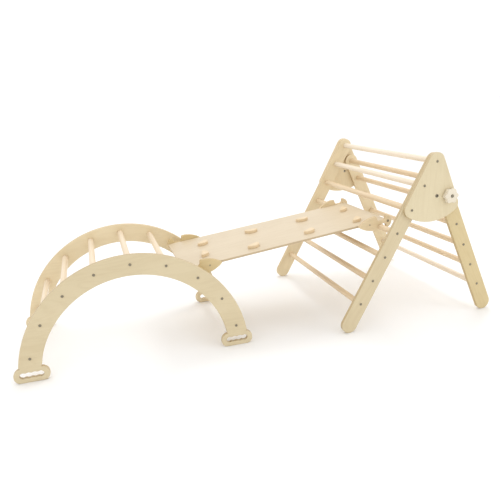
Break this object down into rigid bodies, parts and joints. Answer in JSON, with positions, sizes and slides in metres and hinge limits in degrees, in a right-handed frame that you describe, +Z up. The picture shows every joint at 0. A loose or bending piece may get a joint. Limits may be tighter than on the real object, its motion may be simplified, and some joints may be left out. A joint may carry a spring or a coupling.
{
  "type": "toddler slide and climbing set",
  "caption": "Wooden toddler climbing set: an arch climber and a folding triangle, joined by a hook-on slide board with climbing holds.",
  "frame": {"origin": "on the floor, at the middle of the whole set's footprint", "axes": "+X along the set from the arch to the triangle, +Y across it to the set's left, +Z up; the triangle is centred on Y = 0 and the arch and board stand 61 mm to its right"},
  "size_m": [2.1216, 0.9464, 0.7609],
  "materials": {
    "birch_panels": "clear matt lacquer on birch plywood",
    "birch_board": "clear matt lacquer on birch plywood",
    "beech_rungs": "clear matt lacquer on turned beech",
    "hold_wood": "clear matt lacquer",
    "knob_wood": "clear matt lacquer",
    "steel": "dark zinc plate"
  },
  "bodies": {
    "front_frame": {"front_leg_left": "birch_panels", "front_leg_right": "birch_panels", "gusset_plate_left": "birch_panels", "gusset_plate_right": "birch_panels", "plate_bolt_left_1": "steel", "plate_bolt_left_2": "steel", "plate_bolt_left_3": "steel", "plate_bolt_right_1": "steel", "plate_bolt_right_2": "steel", "plate_bolt_right_3": "steel", "front_rung_1": "beech_rungs", "front_rung_2": "beech_rungs", "front_rung_3": "beech_rungs", "front_rung_4": "beech_rungs", "front_rung_5": "beech_rungs", "front_rung_6": "beech_rungs", "front_rung_7": "beech_rungs", "park_insert_left": "steel", "park_insert_right": "steel", "lock_washer_left": "steel", "lock_washer_right": "steel"},
    "rear_frame": {"rear_leg_left": "birch_panels", "rear_leg_right": "birch_panels", "rear_rung_1": "beech_rungs", "rear_rung_2": "beech_rungs", "rear_rung_3": "beech_rungs", "rear_rung_4": "beech_rungs", "rear_rung_5": "beech_rungs", "rear_rung_6": "beech_rungs"},
    "board": {"slide_board": "birch_board", "hook_lower_left": "birch_panels", "hook_lower_right": "birch_panels", "hook_upper_left": "birch_panels", "hook_upper_right": "birch_panels", "hold_left_1": "hold_wood", "hold_left_2": "hold_wood", "hold_left_3": "hold_wood", "hold_left_4": "hold_wood", "hold_right_1": "hold_wood", "hold_right_2": "hold_wood", "hold_right_3": "hold_wood", "hold_right_4": "hold_wood"},
    "arch": {"arch_panel_left": "birch_panels", "arch_panel_right": "birch_panels", "arch_rung_1": "beech_rungs", "arch_rung_2": "beech_rungs", "arch_rung_3": "beech_rungs", "arch_rung_4": "beech_rungs", "arch_rung_5": "beech_rungs", "arch_rung_6": "beech_rungs", "arch_rung_7": "beech_rungs", "arch_rung_8": "beech_rungs", "arch_rung_9": "beech_rungs"},
    "left_knob": {"star_knob_left": "knob_wood", "knob_stud_left": "steel"},
    "right_knob": {"star_knob_right": "knob_wood", "knob_stud_right": "steel"}
  },
  "joints": [
    {"name": "rear_fold", "type": "hinge", "parent": "front_frame", "child": "rear_frame", "pos_m": [0.76647, 0, 0.63306], "axis": [0, 1, 0], "range_deg": [0, 53.5]},
    {"name": "ramp_tilt", "type": "hinge", "parent": "front_frame", "child": "board", "pos_m": [0.55483, -0.061, 0.42504], "axis": [0, 1, 0], "range_deg": [0, 60]},
    {"name": "arch_shift", "type": "slide", "parent": "front_frame", "child": "arch", "axis": [0, 1, 0], "range_m": [-0.03, 0.03]},
    {"name": "left_knob_turn", "type": "hinge", "parent": "front_frame", "child": "left_knob", "pos_m": [0.79308, 0.455, 0.57157], "axis": [0, 1, 0], "continuous": true},
    {"name": "right_knob_turn", "type": "hinge", "parent": "front_frame", "child": "right_knob", "pos_m": [0.79308, -0.455, 0.57157], "axis": [0, 1, 0], "continuous": true}
  ]
}
